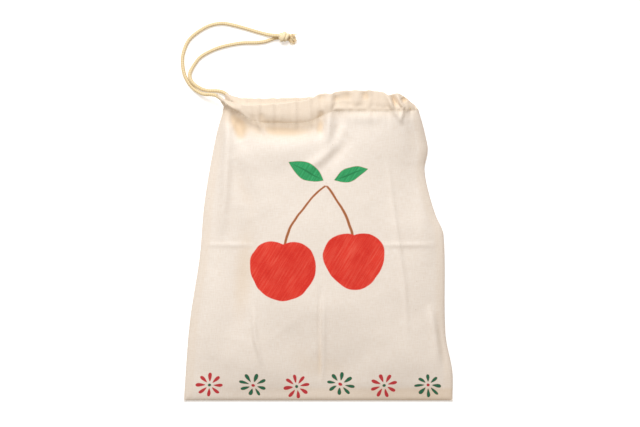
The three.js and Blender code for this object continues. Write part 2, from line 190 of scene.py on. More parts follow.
def tube(route, radius, sides):
    """A closed tube round a route. radius may differ from point to point, and round the route."""
    along = np.gradient(route, axis=0)
    along /= np.linalg.norm(along, axis=1)[:, None]
    side = np.cross(along, (0.0, 0.0, 1.0))
    side[0] /= np.linalg.norm(side[0])
    for k in range(1, len(route)):
        turned = side[k - 1] - along[k] * (side[k - 1] @ along[k])
        side[k] = turned / np.linalg.norm(turned)
    up = np.cross(side, along)
    angle = np.linspace(0, 2 * math.pi, sides, endpoint=False)
    ring = side[:, None] * np.cos(angle)[:, None] + up[:, None] * np.sin(angle)[:, None]
    radius = np.broadcast_to(radius, (len(route), sides))
    points = (route[:, None] + ring * radius[..., None]).reshape(-1, 3)
    k, j = np.meshgrid(np.arange(len(route) - 1) * sides, np.arange(sides), indexing="ij")
    after = (j + 1) % sides
    faces = np.stack([k + j, k + after, k + sides + after, k + sides + j], axis=-1).reshape(-1, 4)
    last = (len(route) - 1) * sides
    ends = [list(range(sides - 1, -1, -1)), list(range(last, last + sides))]
    return points, faces.tolist() + ends


def joined(parts):
    """Several (points, faces) as one."""
    points, faces, start = [], [], 0
    for part_points, part_faces in parts:
        points.append(part_points)
        faces += [[start + k for k in face] for face in part_faces]
        start += len(part_points)
    return np.vstack(points), faces


def make_piece(name, points, faces, material):
    """A smooth mesh object of points and faces."""
    mesh = bpy.data.meshes.new(name)
    mesh.from_pydata(points.tolist(), [], faces)
    mesh.shade_smooth()
    mesh.materials.append(material)
    piece = bpy.data.objects.new(name, mesh)
    bpy.context.scene.collection.objects.link(piece)
    return piece


def braided_cord(name, route, node):
    """A length of cord whose plaits stand out as staggered bumps."""
    route = spaced(route, CORD_STEP)
    run = np.arange(len(route))[:, None] * CORD_STEP
    angle = np.linspace(0, 2 * math.pi, CORD_SIDES, endpoint=False)
    bump = 0.5 + 0.25 * (np.cos(PLAITS_ROUND * angle) + np.cos(2 * math.pi * run / BRAID_REPEAT))
    swell = 1 + CORD_UNEVEN * np.sin(run / 0.0043) * np.sin(run / 0.0117)
    radius = (CORD_RADIUS + PLAIT_RELIEF * (bump - 0.7)) * swell
    piece = make_piece(name, *tube(route, radius, CORD_SIDES), cotton_braid)
    # The bumps also paint shade into the grooves between the plaits
    piece.data.attributes.new("plait_groove_shade", "FLOAT", "POINT").data.foreach_set("value", bump.ravel())
    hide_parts(node)
    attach(piece, "drawcord")
    return piece


bight_radius = (FRONT_CORD - BACK_CORD) / 2
bight = []
for angle in np.linspace(math.pi / 2, -math.pi / 2, 7):
    height = BACK_CORD + bight_radius * (1 + math.sin(angle))
    bight.append([BIGHT_MIDDLE + bight_radius * math.cos(angle), CORD_LINE, height])
front_bend, back_bend = from_slit(OUTER_BEND), from_slit(INNER_BEND)
front_x = np.linspace(front_bend[0][0], BIGHT_MIDDLE, 9)[1:-1]
back_x = np.linspace(BIGHT_MIDDLE, back_bend[0][0], 9)[1:-1]
front_run = [[x, CORD_LINE, FRONT_CORD] for x in front_x]
back_run = [[x, CORD_LINE, BACK_CORD] for x in back_x]
inside = [*front_bend[::-1], *front_run, *bight, *back_run, *back_bend]
whole_cord = smooth_route([*from_slit(OUTER_ROUTE)[::-1], *inside, *from_slit(INNER_ROUTE)])
outer_end = len(OUTER_ROUTE) * ROUTE_STEPS
inner_start = len(whole_cord) - 1 - len(INNER_ROUTE) * ROUTE_STEPS
outer_route = whole_cord[outer_end::-1]
inner_route = whole_cord[inner_start:]
hidden_route = whole_cord[outer_end:inner_start + 1]

outer_strand = braided_cord("drawcord_outer", outer_route, "drawcord_outer_strand")
inner_strand = braided_cord("drawcord_inner", inner_route, "drawcord_inner_strand")
braided_cord("drawcord_in_hem", hidden_route, "drawcord_in_casing")


# Knot and tails
# Both strands are tied together in one tight overhand knot, which shows two wraps side by side.
# The cut ends stick out a little and have begun to fray into loose yarns.
WRAP_RADIUS = 0.0035
WRAP_CORD = 0.0017  # radius of the cord where the knot squeezes it
WRAP_TURNS = 1.35
WRAP_SINK = 0.0011  # how much nearer to the middle a wrap starts and ends
WRAP_SLANT = 0.0009
WRAP_SHIFT = 0.0013  # from one strand's wrap to the other's
CORE_OFFSET = 0.0012
# From and to along the knot, of each stretch of a strand
WAY_IN, WRAP, WAY_OUT = (-0.0047, 0.0028), (0.0032, -0.002), (-0.0024, 0.0047)
STRAND_ANGLES = (0.4, 0.4 + math.pi)
KNOT_PLACE = [0.0649, 0.0541, 0.0054]  # measured like the route's places, and so are the tails'
OUTER_TAIL = [
    [0.0686, 0.0549, 0.0058], [0.0698, 0.055, 0.0054], [0.071, 0.0549, 0.0048],
    [0.0722, 0.0545, 0.0042],
]
INNER_TAIL = [
    [0.0686, 0.0522, 0.0028], [0.0697, 0.0518, 0.0023], [0.0708, 0.0514, 0.0019],
    [0.072, 0.0511, 0.0018],
]
FRAY_YARNS = 90  # at each end
FRAY_LENGTH = 0.0047
FRAY_ROOT = 0.0012  # how far inside the cord's end the yarns start
FRAY_SPREAD = 0.26  # sideways, as a share of the yarns' length
FRAY_CURL = 0.0005
YARN_RADIUS = 0.0004


def knotted_strand(turned):
    """One strand's way through the knot: in, back round the outside, and out through the middle."""
    places = [(along, CORE_OFFSET, turned) for along in np.linspace(*WAY_IN, 6)]
    shift = WRAP_SHIFT if turned > math.pi else 0
    for share, along in zip(np.linspace(0, 1, 17), np.linspace(*WRAP, 17)):
        angle = turned + 0.5 + share * 2 * math.pi * WRAP_TURNS
        slant = WRAP_SLANT * math.sin(angle + 0.8)
        radius = WRAP_RADIUS - WRAP_SINK * (2 * share - 1) ** 2
        places.append((along - shift + slant, radius, angle))
    places += [(along, CORE_OFFSET, turned + math.pi / 2) for along in np.linspace(*WAY_OUT, 5)]
    x, y, z = from_slit([KNOT_PLACE])[0]
    return smooth_route([
        [x + along, y + radius * math.cos(angle), z + radius * math.sin(angle)]
        for along, radius, angle in places
    ], 8)


knot_parts = [tube(spaced(knotted_strand(turned), 0.0005), WRAP_CORD, 16) for turned in STRAND_ANGLES]
knot = make_piece("drawcord_knot_tied", *joined(knot_parts), cotton_braid)
# The knot's yarn gets a little of the painted groove shade
knot.data.attributes.new("plait_groove_shade", "FLOAT", "POINT").data.foreach_set(
    "value", np.full(len(knot.data.vertices), 0.9)
)
outer_tail, inner_tail = [
    braided_cord(name, smooth_route(from_slit(places)), node)
    for name, places, node in (
        ("drawcord_tail_a", OUTER_TAIL, "drawcord_tail_outer"),
        ("drawcord_tail_b", INNER_TAIL, "drawcord_tail_inner"),
    )
]
# Where the plaits have come undone the yarn is fluffier and paler, and it is painted paler still to
# lift the shade among the loose yarns
loose_yarn, tree = new_material("frayed_cotton_yarn")
place = shade(tree, "TexCoord", out="Object")
twist = shade(tree, "TexNoise", {"Vector": place, "Scale": 900, "Detail": 2})
yarn = shade(tree, "Mix", {0: twist, 6: "#F6D9A4", 7: "#FFEFCB"}, out=2, data_type="RGBA")
surface = shade(tree, "BsdfPrincipled", {
    "Base Color": yarn, "Roughness": 0.95, "IOR": 1.5, "Specular IOR Level": 0.2,
    "Sheen Weight": 0.3, "Sheen Roughness": 0.6,
})
shade(tree, "OutputMaterial", {"Surface": surface})
loose = np.random.default_rng(4)
shares = np.linspace(0, 1, 5)
yarns = []
for tail in (OUTER_TAIL, INNER_TAIL):
    end = np.array(from_slit(tail)[-1])
    ahead = end - np.array(from_slit(tail)[-2])
    ahead /= np.linalg.norm(ahead)
    for _ in range(FRAY_YARNS):
        root = end - ahead * FRAY_ROOT + loose.normal(0, CORD_RADIUS * 0.45, 3)
        way = ahead + loose.normal(0, FRAY_SPREAD, 3) * (0.6, 1, 0.5)
        length = FRAY_LENGTH * loose.uniform(0.6, 1)
        curl = loose.normal(0, FRAY_CURL, 3)
        line = [root + way * length * t + curl * math.sin(math.pi * t) for t in shares]
        for point in line:
            point[2] = max(point[2], YARN_RADIUS)
        yarns.append(tube(spaced(smooth_route(line, 4), 0.0006), YARN_RADIUS, 5))
fray = make_piece("drawcord_frayed_ends", *joined(yarns), loose_yarn)
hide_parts("drawcord_knot")
for piece in (knot, fray):
    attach(piece, "drawcord")


# Front cloth
# One layer of unbleached plain-weave cotton. It is sewn to the back at both sides and the bottom,
# and its top is turned inwards over the cord and stitched down as a hem. The cord has drawn the
# mouth in, so the cloth lies in soft folds that fan out from the two upper corners.
CLOTH = 0.0005  # thickness of one layer
BOTTOM = -0.149  # place of the bottom seam along Y
# Where cloth would change from moving with the bag to moving with the mouth's end; these places are not
# used here
LEFT_BLEND_END = (-0.0773, 0.1828, 0)
RIGHT_BLEND_END = (0.0773, 0.1828, 0)
SEAM_HEIGHT = 0.0019  # of the seam between the two layers, above the table
EDGE_ROLL = 0.0016  # the layer rises this much as it rolls up out of the seam
ALLOWANCE = 0.008  # width of the seam allowances inside
BELLY_RISE = 0.0142
LEFT_SEAM_RISE = 0.0036  # of the side seams, where the mouth stands open
RIGHT_SEAM_RISE = 0.0079
LIP_ROUND = 0.0011  # half the thickness of the hem at its lip
LIP_HEIGHT = 0.02
LEFT_LIP_DROP = 0.006  # how much lower the lip's ends are
RIGHT_LIP_DROP = 0.0102
LIP_WAVE = 0.0004
FRONT_LIP_SHIFT = (-0.0069, -0.0042)  # of the lip's left and right end, along X
HEM_DEPTH = 0.017  # from the stitches to the lip
HEM_SHOULDER = 0.55  # share of that depth in which the hem rises
FLAP_END = -0.09  # the raw edge, as a share of that depth
TURN_SHARE = 0.15  # of that depth, the cloth that goes round the lip
HEM_GAP = 0.0011  # between the hem's two layers at the stitches
CORD_COVER = 0.00245  # from the middle of the cord to the face of the cloth over it
COVER_SPREAD = 0.004  # how far the cord's bump reaches
FRONT_COVER_SPREAD = 0.0032
SOFT_EDGE = 0.012  # the folds die away over this way towards a seam
PUCKER = 0.0009
PUCKER_REACH = 0.009  # below the stitches
PUCKERS = [[1, 0.0117, 0.7], [0.7, 0.0071, 2.1], [0.6, 0.0187, 4]]  # weight, spacing and phase
RUMPLES = [[0.0011, 0.042, 3.1], [0.0003, 0.014, 7.7]]  # height, size and seed
STITCH_DIPS = [[0.0004, 0.0012], [0.0004, 0.0036]]  # depth and half width
TUCK_IN = np.array([0, 0.0003, 0.0014])  # of the grid's outermost points, into the seam
TUCK_DOWN = np.array([0, 0.0003, 0.0003])
# How much darker the cloth looks, from 0 to 1: where the hem lies under it, painted shade in the
# hollows of the folds, and where a side seam allowance lies under it
BEHIND_HEM, HOLLOW_PAINTED_SHADE, BEHIND_SIDE = 0.36, 0.7, 0.12
# [place along Y, half width] of the two sides of the bag
LEFT_SIDE = [
    [-0.149, 0.13], [-0.074, 0.1243], [-0.01, 0.1146], [0.044, 0.1098], [0.109, 0.0983],
    [0.1357, 0.0903], [0.149, 0.0875],
]
RIGHT_SIDE = [
    [-0.149, 0.13], [-0.121, 0.13], [-0.084, 0.1233], [0.012, 0.1214], [0.031, 0.1137],
    [0.057, 0.106], [0.076, 0.1031], [0.09, 0.1058], [0.098, 0.106], [0.127, 0.0983], [0.149, 0.09],
]
# [share from the middle to a side, place along Y]
FRONT_STITCHES = [
    [-1, 0.1352], [-0.845, 0.1294], [-0.64, 0.1203], [-0.4, 0.1186], [-0.09, 0.1196],
    [0.06, 0.1265], [0.17, 0.1298], [0.5, 0.13], [0.8, 0.1302], [0.93, 0.1306], [1, 0.132],
]
FRONT_LIP = [
    [-1, 0.1468], [-0.9, 0.1402], [-0.8, 0.137], [-0.645, 0.1363], [-0.444, 0.1374], [-0.26, 0.139],
    [-0.08, 0.142], [0, 0.1461], [0.08, 0.1474], [0.13, 0.1463], [0.18, 0.1492], [0.49, 0.15],
    [0.645, 0.1482], [0.695, 0.1455], [0.775, 0.1474], [0.88, 0.1444], [1, 0.1376],
]
# [share from the bottom to the stitches, share of the belly's height, or how square its crown is]
BELLY = [
    [0, 0], [0.03, 0.1], [0.07, 0.3], [0.15, 0.54], [0.32, 0.73], [0.58, 0.88], [0.82, 0.99], [1, 1.12],
]
BELLY_POWER = [[0, 6], [0.45, 3.2], [0.8, 5], [1, 14]]
RIGHT_BELLY_POWER = [[0, 6], [0.45, 3.2], [0.8, 3.6], [1, 12]]
# Folds that the photograph shows, in millimetres: the line along the top of each, its half width
# and its height. A negative height is a hollow.
FOLDS = [
    # round the left end of the mouth
    ([[-90.8, 130.6], [-87.2, 115], [-87.5, 93], [-89.5, 50], [-94, 10]], 5, 4.2),
    ([[-86, 131], [-77.6, 117.4], [-71.5, 101]], 7, -6.2),
    ([[-80, 122], [-55, 112.5], [-22, 110.5], [-2, 113], [4, 124]], 8, -5.6),
    ([[-76.3, 130.6], [-60.7, 117.4]], 2.4, 1.6),
    ([[-59.5, 121], [-49.8, 107.7]], 2.6, 2.4),
    ([[-56, 128], [-52, 122]], 3, -1.2),
    ([[-78, 85], [-30, 92], [6, 99]], 12, 1.8),
    ([[-82, 85], [-74, 60], [-60, 30]], 10, -2.2),
    # the step near the middle of the mouth, and the soft fold that runs down from it
    ([[3.4, 147], [3.2, 140]], 4.4, -1.8),
    ([[3.1, 127], [3, 120], [2.8, 108]], 4.2, -3),
    ([[10.4, 149], [10, 122], [9, 98]], 3.6, 3),
    ([[17.5, 145.5], [19, 139]], 4, -1.8),
    ([[21.5, 128], [20.5, 118], [17, 105]], 4.2, -2.2),
    ([[21, 101], [5.6, 86], [-12, 74]], 5, 2.6),
    ([[31, 108], [20, 92], [6, 78]], 8, -2.4),
    # the right half of the hem
    ([[27.5, 148], [26.8, 140]], 5, -2),
    ([[38.5, 149], [38.5, 134]], 3, 1.4),
    ([[44.5, 149], [46.8, 140.5]], 3.8, -2.4),
    ([[26, 124.5], [45, 123.8], [62, 123.3]], 5.5, 1.8),
    # the folds that fan out from the right end of the mouth
    ([[65, 148], [72, 133], [79.5, 120.5]], 2.8, 3.6),
    ([[70.5, 145.5], [74.8, 134.5]], 3, -3.6),
    ([[75, 145.5], [81.5, 133.5], [80, 122]], 2.2, 4),
    ([[81, 143.5], [84, 138.5]], 3.4, -3.2),
    # the body of the bag
    ([[88, 122], [91, 100], [90, 82]], 10, -2.2),
    ([[66, 86.6], [75, 20], [83.4, -38], [86.7, -89.8]], 2.4, 1.4),
    ([[1.9, -40], [1.9, -126]], 1.9, -2.2),
    ([[5, -50], [4.8, -126]], 2.2, 1.6),
    ([[-62.6, -60.8], [-60.2, -90], [-54.5, -112]], 2.2, 2.3),
    ([[-112, 1.8], [-62, 1.8]], 2, 0.8),
    ([[55.7, 1.8], [113.9, 1.8]], 2, 1),
    ([[107.9, -60.8], [113.5, -83], [117.5, -105]], 3.8, 3),
    ([[118, -75], [123, -105], [123.5, -120]], 4, -2.4),
    ([[-66, 40], [-72, -30], [-80, -90]], 15, -3.4),
    ([[-98, -20], [-104, -110]], 12, 2),
    ([[-35, -80], [-10, -115], [50, -120]], 20, -2.6),
    ([[-40, -45], [0, -60], [40, -50]], 18, 1.2),
    ([[100, 60], [102, 20], [108, -20]], 9, 1.6),
    ([[55, 75], [58, 30], [60, -30]], 15, -1),
]
HALF_COLUMNS = 100
PANEL_ROWS = 168
HEM_ROWS = 24
FOLD_ROWS = 8


def through(pairs, place):
    """Height of a smooth curve through [place, height] pairs."""
    x, y = np.array(pairs, float).T
    before, after = np.maximum(np.arange(len(x)) - 1, 0), np.minimum(np.arange(len(x)) + 1, len(x) - 1)
    slope = (y[after] - y[before]) / (x[after] - x[before])
    k = np.clip(np.searchsorted(x, place) - 1, 0, len(x) - 2)
    step = x[k + 1] - x[k]
    u = np.clip((place - x[k]) / step, 0, 1)
    return (
        y[k] + (y[k + 1] - y[k]) * u * u * (3 - 2 * u)
        + step * u * (1 - u) * ((1 - u) * slope[k] - u * slope[k + 1])
    )


def ease(value):
    """0 to 1 without a corner at either end."""
    t = np.clip(value, 0, 1)
    return t * t * (3 - 2 * t)


def side_reach(y, c):
    """Half width of the bag on the side that c lies on."""
    return np.where(c < 0, through(LEFT_SIDE, y), through(RIGHT_SIDE, y))


def seam_height(y, c):
    """The side seams lie on the table, and rise where the mouth stands open."""
    left = LEFT_SEAM_RISE * ease((y - 0.105) / 0.03)
    right = RIGHT_SEAM_RISE * ease((y - 0.095) / 0.04)
    return SEAM_HEIGHT + np.where(c < 0, left, right)


def fold_height(x, y):
    """All the folds together."""
    x, y = x * 1000, y * 1000
    height = np.zeros_like(x)
    for line, half_width, rise in FOLDS:
        line = np.array(line)
        lengths = np.linalg.norm(np.diff(line, axis=0), axis=1)
        nearest = np.full(x.shape, np.inf)
        along = np.zeros_like(x)
        for k, length in enumerate(lengths):
            ux, uy = (line[k + 1] - line[k]) / length
            t = np.clip((x - line[k][0]) * ux + (y - line[k][1]) * uy, 0, length)
            away = np.hypot(x - line[k][0] - t * ux, y - line[k][1] - t * uy)
            along = np.where(away < nearest, (lengths[:k].sum() + t) / lengths.sum(), along)
            nearest = np.minimum(away, nearest)
        # A fold dies away towards its ends, a short one not quite
        least = 0.35 * min(1, 20 / lengths.sum())
        fade = least + (1 - least) * np.sin(math.pi * np.clip(along, 0.01, 0.99)) ** 0.7
        height += rise * fade * np.exp(-((nearest / half_width) ** 2))
    return height / 1000


def rumple(x, y, size, seed):
    """Soft unevenness of cloth that has been folded and worn, from -1 to 1."""
    flat = np.stack([x.ravel() / size, y.ravel() / size], axis=1)
    return np.array([noise.noise(Vector((u, v, seed))) for u, v in flat]).reshape(x.shape)


def gathers(x):
    """The small upright puckers where the hem is bunched along the cord."""
    waves = [weight * np.sin(2 * math.pi * x / spacing + phase) for weight, spacing, phase in PUCKERS]
    return sum(waves) / sum(weight for weight, _, _ in PUCKERS)


def cloth_halves(name, place, cloth_xy, layers_and_painted_shade, faces_down, material):
    """The left and right half of a cloth layer, from a grid of places with its middle column on the
    bag's middle. Each half is a closed shell, and both share the normals of the whole."""
    across = np.gradient(place, axis=1)
    along = np.gradient(place, axis=0)
    normal = np.cross(across, along)
    if faces_down:
        normal = -normal
    normal /= np.linalg.norm(normal, axis=2)[..., None]
    middle = place.shape[1] // 2
    halves = []
    for side, part in (("left", slice(0, middle + 1)), ("right", slice(middle, None))):
        outer, facing, flat = place[:, part], normal[:, part], cloth_xy[:, part]
        rows, columns = outer.shape[:2]
        points = np.concatenate([outer.reshape(-1, 3), (outer - facing * CLOTH).reshape(-1, 3)])
        normals = np.concatenate([facing.reshape(-1, 3), -facing.reshape(-1, 3)])
        flat = np.concatenate([flat.reshape(-1, 2)] * 2)
        k = np.arange(rows * columns).reshape(rows, columns)
        quads = np.stack([k[:-1, :-1], k[:-1, 1:], k[1:, 1:], k[1:, :-1]], axis=-1).reshape(-1, 4)
        under = rows * columns
        loop = np.concatenate([k[0, :-1], k[:-1, -1], k[-1, :0:-1], k[:0:-1, 0]])
        after = np.roll(loop, -1)
        rim = np.stack([loop, loop + under, after + under, after], axis=-1)
        faces = np.concatenate([quads, quads[:, ::-1] + under, rim])
        if faces_down:
            faces = faces[:, ::-1]
        half = make_piece(f"{name}_{side}", points, faces.tolist(), material)
        corners = faces.ravel()
        uv = half.data.uv_layers.new(name="flat_cloth")
        uv.data.foreach_set("uv", flat[corners].ravel())
        half.data.attributes.new("layers_and_painted_shade", "FLOAT", "POINT").data.foreach_set(
            "value", np.concatenate([layers_and_painted_shade[:, part].ravel()] * 2)
        )
        half.data.normals_split_custom_set_from_vertices(normals.tolist())
        halves.append(half)
    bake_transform(halves[0])
    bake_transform(halves[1])
    return halves


# Plain-weave unbleached cotton: a dull, slightly fuzzy surface, cream with thicker yarns here and
# there and a few dark seed specks. The yarns are 0.5 mm apart, drawn at 1.2 mm so that they show.
# The cloth is thin, so it looks yellower where a hem or a seam allowance lies right under it. The same
# warm tint is also painted shade in the hollows of the folds, just below the left of the hem and
# towards the bottom right.
YARN_SPACING = 0.0012
SLUB_LENGTH, SLUB_WIDTH = 0.007, 0.0008


def calico(tree, cloth, printed=None):
    """Finishes a node tree as calico, with print colour and cover where it is printed."""
    slubs = 0
    for size in ((SLUB_WIDTH, SLUB_LENGTH), (SLUB_LENGTH, SLUB_WIDTH)):
        stretched = shade(tree, "Mapping", {"Vector": cloth, "Scale": (1 / size[0], 1 / size[1], 1)})
        thicker = shade(tree, "TexNoise", {"Vector": stretched, "Scale": 1, "Detail": 1})
        slubs = shade(tree, "Math", (thicker, slubs), "ADD")
    turns = 2 * math.pi / YARN_SPACING
    yarns = shade(tree, "VectorMath", {0: cloth, "Scale": turns}, "SCALE")
    warp, weft, _ = shade(tree, "SeparateXYZ", (yarns,)).node.outputs
    over = shade(tree, "Math", (warp,), "SINE")
    under = shade(tree, "Math", (weft,), "SINE")
    weave = shade(tree, "Math", (over, under), "MULTIPLY")
    relief = shade(tree, "Math", (weave, 0.2, slubs), "MULTIPLY_ADD")
    bump = shade(tree, "Bump", {"Height": relief, "Strength": 0.3, "Distance": 0.00022})
    thick = shade(tree, "MapRange", {"Value": slubs, "From Min": 0.6, "From Max": 1.5})
    cream = shade(tree, "Mix", {0: thick, 6: "#F5EDE4", 7: "#EBDFD2"}, out=2, data_type="RGBA")
    layers_and_painted_shade = shade(tree, "Attribute", attribute_name="layers_and_painted_shade", out="Fac")
    # This tint is partly the layers under the cloth and partly painted shade
    cream = shade(tree, "Mix", {0: layers_and_painted_shade, 6: cream, 7: "#DFC29A"}, out=2, data_type="RGBA")
    cells = shade(tree, "TexVoronoi", {"Vector": cloth, "Scale": 95, "Randomness": 1}, out="Distance")
    tint = shade(tree, "TexNoise", {"Vector": cloth, "Scale": 14, "Detail": 1})
    speck = shade(tree, "MapRange", {"Value": cells, "From Min": 0.055, "From Max": 0.02})
    some = shade(tree, "MapRange", {"Value": tint, "From Min": 0.5, "From Max": 0.56, "To Max": 0.4})
    speck = shade(tree, "Math", (speck, some), "MULTIPLY")
    cream = shade(tree, "Mix", {0: speck, 6: cream, 7: "#8E6B48"}, out=2, data_type="RGBA")
    if printed:
        cream = shade(tree, "Mix", {0: printed[0], 6: cream, 7: printed[1]}, out=2, data_type="RGBA")
    surface = shade(tree, "BsdfPrincipled", {
        "Base Color": cream, "Roughness": 0.95, "IOR": 1.5, "Specular IOR Level": 0.2,
        "Sheen Weight": 0.08, "Sheen Roughness": 0.6, "Normal": bump,
    })
    shade(tree, "OutputMaterial", {"Surface": surface})


plain_calico, tree = new_material("unbleached_cotton_calico")
calico(tree, shade(tree, "UVMap", uv_map="flat_cloth"))

# The print is fabric ink rubbed into the front, whose weave shows through it: a pair of cherries
# coloured in with slanting strokes, and a row of small flowers above the bottom seam. Sizes in
# this part are in millimetres.
CHERRIES = [[-34, -24, 30], [35, -14, 28]]  # place of the middle, and radius
# [foot along X and Y, lean, curve, length along Y] of each stalk
STALKS = [[-32, 2, 0.2, 0.0087, 57], [33, 11, -0.3, -0.0044, 48]]
STALK_HALF_WIDTH = 1.3
LEAVES = [[-11, 73, 19, 8, 152], [31, 70, 17, 6.5, 18]]  # middle, half length, half width, degrees
VEIN_HALF_WIDTH = 0.7
STROKE_LENGTH, STROKE_WIDTH, STROKE_ANGLE = 26, 1.5, -58
HAND_WOBBLE = 4.5
FLOWERS = 6
FLOWER_SPACING = 42.2
FLOWER_ROW = [-105, -134]
FLOWER_HEART = 1.7  # radius
FLOWER_BOB = 1.2  # how much some stand higher or lower
FLOWER_TURN = 0.31  # from one to the next, in radians
FLOWER_FLAT = 1.15  # how much wider than tall
PETALS = 8
PETAL_MIDDLE, PETAL_HALF_LENGTH, PETAL_HALF_WIDTH = 8.6, 4.6, 2.1
INK_EDGE = 0.5
FLOWER_EDGE = 0.35
CHERRY_RED, STALK_BROWN, VEIN_GREEN = "#E53726", "#A5673A", "#1B7F4A"
FLOWER_RED, FLOWER_GREEN = "#C5333A", "#1E6849"

printed_calico, tree = new_material("printed_cotton_calico")
cloth = shade(tree, "UVMap", uv_map="flat_cloth")


def inside_of(distance, edge=INK_EDGE):
    """Cover of a motif, 1 where a distance in mm is below 0 and 0 where it is above."""
    return shade(tree, "MapRange", {
        "Value": distance, "From Min": edge, "From Max": -edge,
    }, interpolation_type="SMOOTHSTEP")


def beside(offset, half_width):
    """Distance outside a straight band."""
    away = shade(tree, "Math", (offset,), "ABSOLUTE")
    return shade(tree, "Math", (away, half_width), "SUBTRACT")


def leaf_outline(along, across, half_length, half_width):
    """Distance outside a leaf that is pointed at both ends."""
    share = shade(tree, "Math", (along, half_length), "DIVIDE")
    share = shade(tree, "Math", (share, share), "MULTIPLY")
    width = shade(tree, "Math", (share, -half_width, half_width), "MULTIPLY_ADD")
    return beside(across, width)


in_mm = shade(tree, "VectorMath", {0: cloth, "Scale": 1000}, "SCALE")
shaky = shade(tree, "TexNoise", {"Vector": in_mm, "Scale": 0.045, "Detail": 1}, out=1)
shaky = shade(tree, "VectorMath", (shaky, (0.5, 0.5, 0.5)), "SUBTRACT")
shaky = shade(tree, "VectorMath", {0: shaky, "Scale": HAND_WOBBLE}, "SCALE")
by_hand = shade(tree, "VectorMath", (in_mm, shaky), "ADD")
x_mm, y_mm, _ = shade(tree, "SeparateXYZ", (by_hand,)).node.outputs

slanting = shade(tree, "Mapping", {"Vector": in_mm, "Rotation": (0, 0, math.radians(STROKE_ANGLE))})
slanting = shade(tree, "Mapping", {
    "Vector": slanting, "Scale": (1 / STROKE_LENGTH, 1 / STROKE_WIDTH, 1),
})
strokes = shade(tree, "TexNoise", {"Vector": slanting, "Scale": 1, "Detail": 2})
strokes = shade(tree, "MapRange", {"Value": strokes, "From Min": 0.42, "From Max": 0.75})
patches = shade(tree, "TexNoise", {"Vector": in_mm, "Scale": 0.05, "Detail": 2})
patches = shade(tree, "MapRange", {"Value": patches, "From Min": 0.35, "From Max": 0.65})
deep = shade(tree, "Mix", {0: strokes, 6: "#D82A1C", 7: CHERRY_RED}, out=2, data_type="RGBA")
light = shade(tree, "Mix", {0: strokes, 6: CHERRY_RED, 7: "#EE5F4C"}, out=2, data_type="RGBA")
red = shade(tree, "Mix", {0: patches, 6: deep, 7: light}, out=2, data_type="RGBA")
green = shade(tree, "Mix", {0: strokes, 6: "#27975A", 7: "#3DB474"}, out=2, data_type="RGBA")

motifs = []
for foot_x, foot_y, lean, curve, length in STALKS:
    up = shade(tree, "Math", (y_mm, foot_y), "SUBTRACT")
    bend = shade(tree, "Math", (up, curve, lean), "MULTIPLY_ADD")
    middle = shade(tree, "Math", (up, bend, foot_x), "MULTIPLY_ADD")
    off_middle = shade(tree, "Math", (x_mm, middle), "SUBTRACT")
    off_length = shade(tree, "Math", (up, length / 2), "SUBTRACT")
    ends = (beside(off_middle, STALK_HALF_WIDTH), beside(off_length, length / 2))
    stalk = shade(tree, "Math", ends, "MAXIMUM")
    motifs.append((inside_of(stalk), STALK_BROWN))
for middle_x, middle_y, radius in CHERRIES:
    place = shade(tree, "VectorMath", (by_hand, (middle_x, middle_y, 0)), "SUBTRACT")
    across, up, _ = shade(tree, "SeparateXYZ", (place,)).node.outputs
    # Two round cheeks side by side give the dimple that the stalk grows from
    apart = shade(tree, "MapRange", {
        "Value": up, "From Min": -0.6 * radius, "From Max": radius, "To Max": 0.36 * radius,
    })
    cheek = shade(tree, "CombineXYZ", (beside(across, apart), up))
    cheek = shade(tree, "VectorMath", (cheek, (1 / 0.9, 1.04, 0)), "MULTIPLY")
    away = shade(tree, "VectorMath", (cheek,), "LENGTH", out="Value")
    cherry = shade(tree, "Math", (away, radius), "SUBTRACT")
    motifs.append((inside_of(cherry), red))
for middle_x, middle_y, half_length, half_width, turned in LEAVES:
    place = shade(tree, "VectorMath", (by_hand, (middle_x, middle_y, 0)), "SUBTRACT")
    place = shade(tree, "VectorRotate", {
        "Vector": place, "Angle": math.radians(-turned),
    }, rotation_type="Z_AXIS")
    along, across, _ = shade(tree, "SeparateXYZ", (place,)).node.outputs
    leaf = leaf_outline(along, across, half_length, half_width)
    vein = leaf_outline(along, across, half_length * 0.8, VEIN_HALF_WIDTH)
    motifs += [(inside_of(leaf), green), (inside_of(vein), VEIN_GREEN)]

# The flowers: the place within each one's own square
number = shade(tree, "Math", (x_mm, FLOWER_SPACING / 2 - FLOWER_ROW[0]), "ADD")
number = shade(tree, "Math", (number, FLOWER_SPACING), "DIVIDE")
number = shade(tree, "Math", (number,), "FLOOR")
middle_x = shade(tree, "Math", (number, FLOWER_SPACING, FLOWER_ROW[0]), "MULTIPLY_ADD")
local_x = shade(tree, "Math", (x_mm, middle_x), "SUBTRACT")
bob = shade(tree, "Math", (number, 2.4), "MULTIPLY")
bob = shade(tree, "Math", (bob,), "SINE")
middle_y = shade(tree, "Math", (bob, FLOWER_BOB, FLOWER_ROW[1]), "MULTIPLY_ADD")
local_y = shade(tree, "Math", (y_mm, middle_y), "SUBTRACT")
local_y = shade(tree, "Math", (local_y, FLOWER_FLAT), "MULTIPLY")
# Then the place within one petal's own sector
local = shade(tree, "CombineXYZ", (local_x, local_y))
reach = shade(tree, "VectorMath", (local,), "LENGTH", out="Value")
turn = shade(tree, "Math", (local_y, local_x), "ARCTAN2")
turn = shade(tree, "Math", (number, FLOWER_TURN, turn), "MULTIPLY_ADD")
turn = shade(tree, "Math", (turn, math.pi / PETALS), "PINGPONG")
